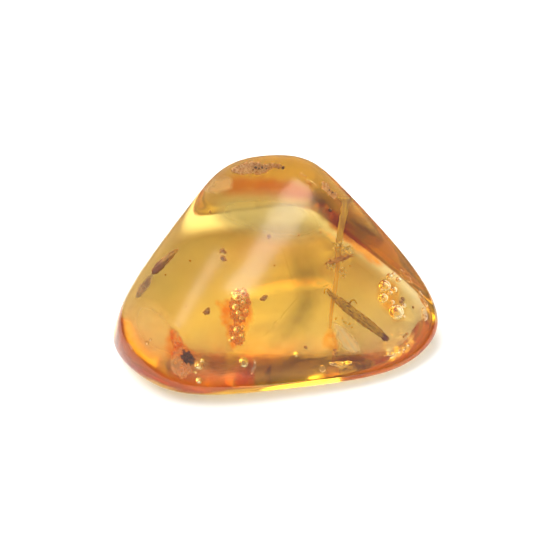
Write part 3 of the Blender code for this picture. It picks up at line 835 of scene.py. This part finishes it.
# painted light: milky peach veils over the corners, paler and lighter than the deep orange there
PAINTED_LIGHT_VEILS = [                           # fade in from the rim mm, rim
    (2.2, [(-16.6, -8.4, -2.1), (-13.8, -9.0, -2.1), (-11.4, -11.4, -2.1), (-9.6, -14.4, -2.1),
           (-9.4, -17.4, -2.1), (-12.2, -17.6, -2.1), (-15.4, -16.4, -2.1), (-17.2, -14.4, -2.1),
           (-18.0, -12.2, -2.1), (-17.6, -10.0, -2.1)]),
    (2.2, [(-10.6, -15.4, -2.3), (-7.4, -15.0, -2.3), (-4.4, -15.0, -2.3), (-1.4, -15.2, -2.3),
           (-0.6, -16.6, -2.3), (-2.2, -17.9, -2.3), (-4.4, -18.4, -2.3), (-7.4, -18.6, -2.3),
           (-10.4, -18.2, -2.3), (-12.0, -17.0, -2.3)]),
    (2.2, [(10.2, -13.6, -1.9), (12.6, -12.6, -1.9), (15.0, -11.0, -1.9), (17.2, -10.6, -1.9),
           (17.4, -12.2, -1.9), (15.8, -13.6, -1.9), (13.4, -14.6, -1.9), (10.8, -15.0, -1.9)]),
    (0.6, [(-8.8, 4.8, -0.9), (-8.2, 5.9, -0.9), (-7.1, 6.9, -0.9), (-6.0, 7.6, -0.9),
           (-5.2, 7.3, -0.9), (-5.0, 6.2, -0.9), (-5.8, 5.2, -0.9), (-7.4, 4.6, -0.9)]),
]
# painted shade: an olive sheet over the upper middle of the face
OLIVE_SHADE_RIM = [(-8.6, 4.4, -0.9), (-6.4, 6.0, -0.9), (-1.8, 6.7, -0.9), (3.2, 6.2, -0.9),
            (6.2, 4.6, -0.9), (8.0, 2.0, -0.9), (6.8, -0.8, -0.9), (3.4, -2.4, -0.9),
            (-0.8, -2.2, -0.9), (-5.2, -1.0, -0.9), (-8.8, 0.8, -0.9)]
# painted shade: brown bands along the right-hand ridge and the near edge
BROWN_SHADE_RIMS = [
    [(4.2, 7.1, -1.2), (7.0, 6.3, -1.2), (9.5, 4.6, -1.2), (12.1, 1.8, -1.2), (14.2, -1.0, -1.2),
     (11.2, -1.6, -1.2), (8.9, -0.6, -1.2), (6.8, 0.8, -1.2), (4.8, 2.6, -1.2), (3.6, 4.8, -1.2)],
    [(-9.6, -15.6, -1.7), (-4, -15.3, -1.7), (2, -15.2, -1.7), (7, -15.0, -1.7), (12, -14.6, -1.7),
     (12.4, -15.1, -1.7), (8, -16.4, -1.9), (2, -17.6, -1.9), (-4, -18.2, -1.9),
     (-9.6, -18.0, -1.9)],
]

# painted shade: the grey sheets darken patches of the face
bm = bmesh.new()
for number, rim in enumerate(SHADE_PATCH_RIMS):
    flake(bm, rim, 0.05, 0.2, 0.4, seed=number + 17, soft=2.5)
grey_painted_shade = stain_and_shade("grey_painted_shade", (0.71, 0.69, 0.70), (0.51, 0.51, 0.55), 4)
finish("painted_shade_patches", bm, grey_painted_shade, "crumb")
# painted light: milky peach veils that make the corners paler and lighter
milky_painted_light = browned_and_painted_light("milky_painted_light", (1.0, 0.76, 0.44), (1.0, 0.69, 0.37), 3.0, 0.5, 0.002,
                    alpha=(0.4, 0.46), soft_rim=True)
bm = bmesh.new()
for number, (soft, rim) in enumerate(PAINTED_LIGHT_VEILS):
    flake(bm, rim, 0.04, 0.05, 0.3, seed=number + 21, soft=soft, rings=12)
finish("painted_light_veils", bm, milky_painted_light, "crumb")
# painted shade: the olive sheet darkens the upper middle of the face
olive_painted_shade = browned_and_painted_light("olive_painted_shade", (0.70, 0.62, 0.34), (0.62, 0.55, 0.30), 3.0, 0.5, 0.002,
                     alpha=(0.5, 0.6), soft_rim=True)
bm = bmesh.new()
flake(bm, OLIVE_SHADE_RIM, 0.04, 0.05, 0.3, seed=41, soft=3.4, rings=16)
finish("painted_olive_shade", bm, olive_painted_shade, "crumb")
# painted shade: the brown bands darken the ridge and the near edge
bm = bmesh.new()
for number, rim in enumerate(BROWN_SHADE_RIMS):
    flake(bm, rim, 0.05, 0.1, 0.3, seed=number + 19, soft=0.8)
brown_painted_shade = stain_and_shade("brown_painted_shade", (0.66, 0.54, 0.36), (0.46, 0.36, 0.18), 2.5)
finish("brown_painted_shade", bm, brown_painted_shade, "crumb")


# ---- Specks: grains of dust and of the chewed wood that beetles leave, which settled on the sticky
# resin and were covered by its next flow. Each is a rough little lump.

SPECKS = [                          # place, size mm
    ((-6.7, -3.0, 0.2), 0.5), ((-6.4, -3.2, 0.2), 0.3), ((-6.65, -4.0, 0.2), 0.5),
    ((-6.3, -4.2, 0.25), 0.25), ((-8.5, -11.1, 0.2), 0.6), ((-8.3, -10.7, 0.2), 0.3),
    ((-1.0, -0.7, 0.2), 0.35), ((-1.05, -0.95, 0.2), 0.2), ((2.7, -0.3, 0.2), 0.22),
    ((-8.2, 2.1, 0.2), 0.2), ((-1.5, -8.8, 0.2), 0.5), ((-1.9, -9.1, 0.2), 0.3),
    ((-1.6, -9.1, 0.3), 0.3), ((3.5, -14.9, 0.2), 0.3), ((7.05, -15.1, 0.3), 0.28),
    ((7.15, -15.5, 0.25), 0.24), ((16.8, -8.8, 0.0), 0.25), ((16.0, -12.3, 0.0), 0.28),
    ((15.6, -12.7, 0.0), 0.22), ((15.8, -12.5, 0.0), 0.18), ((15.5, -8.0, 0.6), 0.4),
    ((15.3, -8.4, 0.55), 0.35), ((5.4, 0.3, 0.0), 0.15), ((-13.5, -6.5, 0.0), 0.18),
    ((-10.6, -4.5, 0.0), 0.2), ((-0.3, -4.5, 0.0), 0.15), ((-11.0, -10.5, 0.1), 0.15),
]

speck_brown = browned_and_painted_light("speck_brown", (0.85, 0.45, 0.22), (0.32, 0.13, 0.06), 0.15, 0.6, 0.05,
                      alpha=(0.75, 1.0))
bm = bmesh.new()
for number, (place, across) in enumerate(SPECKS):
    lump(bm, place, (across, across * 0.85, across * 0.6), number * 0.9, detail=3, knobs=0.6,
         rough=0.8, seed=number + 20)
finish("specks", bm, speck_brown, "grain")
